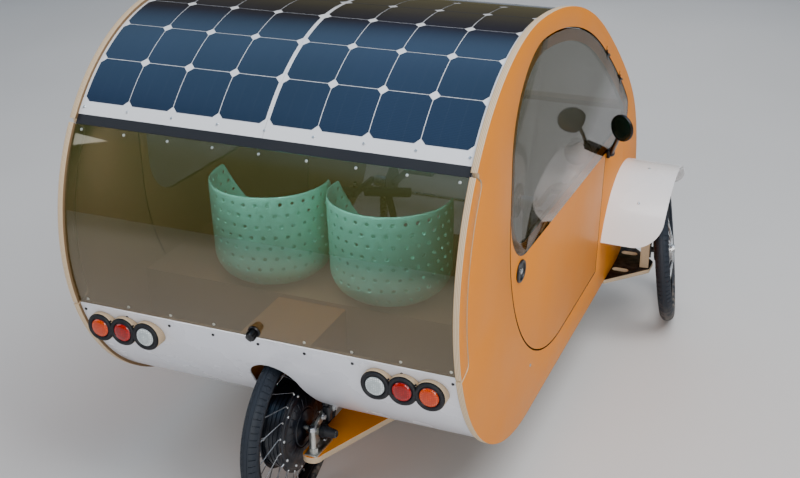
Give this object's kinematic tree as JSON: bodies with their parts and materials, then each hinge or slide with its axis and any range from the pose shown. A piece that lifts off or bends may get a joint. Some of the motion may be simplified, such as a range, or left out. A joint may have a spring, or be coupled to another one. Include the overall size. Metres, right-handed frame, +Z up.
{
  "type": "velomobile",
  "caption": "Enclosed pedal tricycle with flat plywood sides, a solar roof, tinted doors and rear hatch, steered front wheels under sheet fenders and a hub motor in the rear wheel",
  "frame": {"origin": "On the ground, midway along the length and midway across the width.", "axes": "+Z up, the front faces -Y, +X is the vehicle's left. The rear axle lies along X; the front wheels stand leaned in and turned to the left."},
  "size_m": [1.5448, 1.9638, 1.293],
  "materials": {
    "orange_ply": "glossy orange paint on plywood",
    "bare_ply": "varnished plywood with orange stain",
    "white_sheet": "white laminate sheet",
    "solar_sheet": "flexible solar panel with a white margin",
    "tinted_glass": "bronze tinted plastic glazing",
    "black_rubber": "matt black rubber",
    "black_plastic": "satin black plastic",
    "mint_plastic": "white plastic with a mint tone",
    "clear_lens": "clear lens",
    "red_lens": "red lens",
    "amber_lens": "amber lens",
    "dark_metal": "black powder coat",
    "steel": "bright steel",
    "tyre_black": "black rubber tread",
    "black_rim": "black anodised"
  },
  "bodies": {
    "body": {"side_panel_left": "orange_ply", "side_panel_right": "orange_ply", "belly_panel": "orange_ply", "nose_panel": "white_sheet", "windscreen": "tinted_glass", "solar_roof_left": "solar_sheet", "solar_roof_right": "solar_sheet", "hinge_strip": "black_rubber", "rear_skirt": "white_sheet", "wheel_well": "orange_ply", "cross_beams": "orange_ply", "seat_base": "orange_ply", "seat_left": "mint_plastic", "seat_right": "mint_plastic", "battery_block": "black_plastic", "tail_lamp_boards": "black_plastic", "tail_lens_clear": "clear_lens", "tail_lens_red": "red_lens", "tail_lens_amber": "amber_lens", "headlamps": "clear_lens", "front_fender_left": "white_sheet", "front_fender_right": "white_sheet", "lower_arm_left": "bare_ply", "upper_arm_left": "bare_ply", "lower_arm_right": "bare_ply", "upper_arm_right": "bare_ply", "floor_brackets": "steel", "rear_swingarm": "bare_ply", "rear_dropouts": "steel"},
    "hatch": {"hatch_window": "tinted_glass", "hatch_side_strips": "orange_ply", "hatch_knob": "black_plastic"},
    "tie_rod": {"tie_rod": "steel"},
    "steering_lever": {"steering_lever": "dark_metal"},
    "crankset_left": {"crankset_left": "dark_metal"},
    "crankset_right": {"crankset_right": "dark_metal"},
    "wheel_rear": {"tyre_rear": "tyre_black", "rim_rear": "black_rim", "hub_motor": "black_rim", "spokes_rear": "steel"},
    "door_left": {"door_panel_left": "orange_ply", "door_glass_left": "tinted_glass", "door_handle_left": "black_plastic", "door_mirror_left": "black_plastic"},
    "knuckle_left": {"upright_left": "bare_ply", "stub_axle_left": "dark_metal"},
    "wheel_front_left": {"tyre_front_left": "tyre_black", "rim_front_left": "black_rim", "front_hub_left": "steel"},
    "door_right": {"door_panel_right": "orange_ply", "door_glass_right": "tinted_glass", "door_handle_right": "black_plastic", "door_mirror_right": "black_plastic"},
    "knuckle_right": {"upright_right": "bare_ply", "stub_axle_right": "dark_metal"},
    "wheel_front_right": {"tyre_front_right": "tyre_black", "rim_front_right": "black_rim", "front_hub_right": "steel"}
  },
  "joints": [
    {"name": "steer_left", "type": "hinge", "parent": "body", "child": "knuckle_left", "pos_m": [0.635, -0.71213, 0.27], "axis": [0, 0, 1], "range_deg": [-39.9, 20.1]},
    {"name": "wheel_front_left_spin", "type": "hinge", "parent": "knuckle_left", "child": "wheel_front_left", "pos_m": [0.70002, -0.70079, 0.24801], "axis": [0.9765, 0.1704, 0.1323], "continuous": true},
    {"name": "door_left_hinge", "type": "hinge", "parent": "body", "child": "door_left", "pos_m": [0.5382, -0.47439, 0.95644], "axis": [0, -0.8339, -0.5519], "range_deg": [0, 70]},
    {"name": "crank_left_spin", "type": "hinge", "parent": "body", "child": "crankset_left", "pos_m": [0.265, -0.49613, 0.45], "axis": [1, 0, 0], "continuous": true},
    {"name": "steer_right", "type": "hinge", "parent": "body", "child": "knuckle_right", "pos_m": [-0.635, -0.71213, 0.27], "axis": [0, 0, 1], "range_deg": [-39.9, 20.1]},
    {"name": "wheel_front_right_spin", "type": "hinge", "parent": "knuckle_right", "child": "wheel_front_right", "pos_m": [-0.70002, -0.72348, 0.24801], "axis": [0.9765, 0.1704, -0.1323], "continuous": true},
    {"name": "door_right_hinge", "type": "hinge", "parent": "body", "child": "door_right", "pos_m": [-0.5382, -0.47439, 0.95644], "axis": [0, 0.8339, 0.5519], "range_deg": [0, 70]},
    {"name": "crank_right_spin", "type": "hinge", "parent": "body", "child": "crankset_right", "pos_m": [-0.265, -0.49613, 0.45], "axis": [1, 0, 0], "continuous": true},
    {"name": "wheel_rear_spin", "type": "hinge", "parent": "body", "child": "wheel_rear", "pos_m": [0, 0.73187, 0.25], "axis": [1, 0, 0], "continuous": true},
    {"name": "hatch_hinge", "type": "hinge", "parent": "body", "child": "hatch", "pos_m": [0, 0.80249, 1.05096], "axis": [1, 0, 0], "range_deg": [0, 75]},
    {"name": "lever_swing", "type": "hinge", "parent": "body", "child": "steering_lever", "pos_m": [0, -0.11613, 0.232], "axis": [0, 1, 0], "range_deg": [-26.6, 13.4]},
    {"name": "tie_rod_slide", "type": "slide", "parent": "body", "child": "tie_rod", "axis": [1, 0, 0], "range_m": [-0.0565, 0.0285]}
  ],
  "couplings": [
    {"joint": "steer_right", "follows": "steer_left", "ratio": 1},
    {"joint": "tie_rod_slide", "follows": "steer_left", "m_per_rad": 0.081},
    {"joint": "lever_swing", "follows": "steer_left", "ratio": 0.6666}
  ]
}
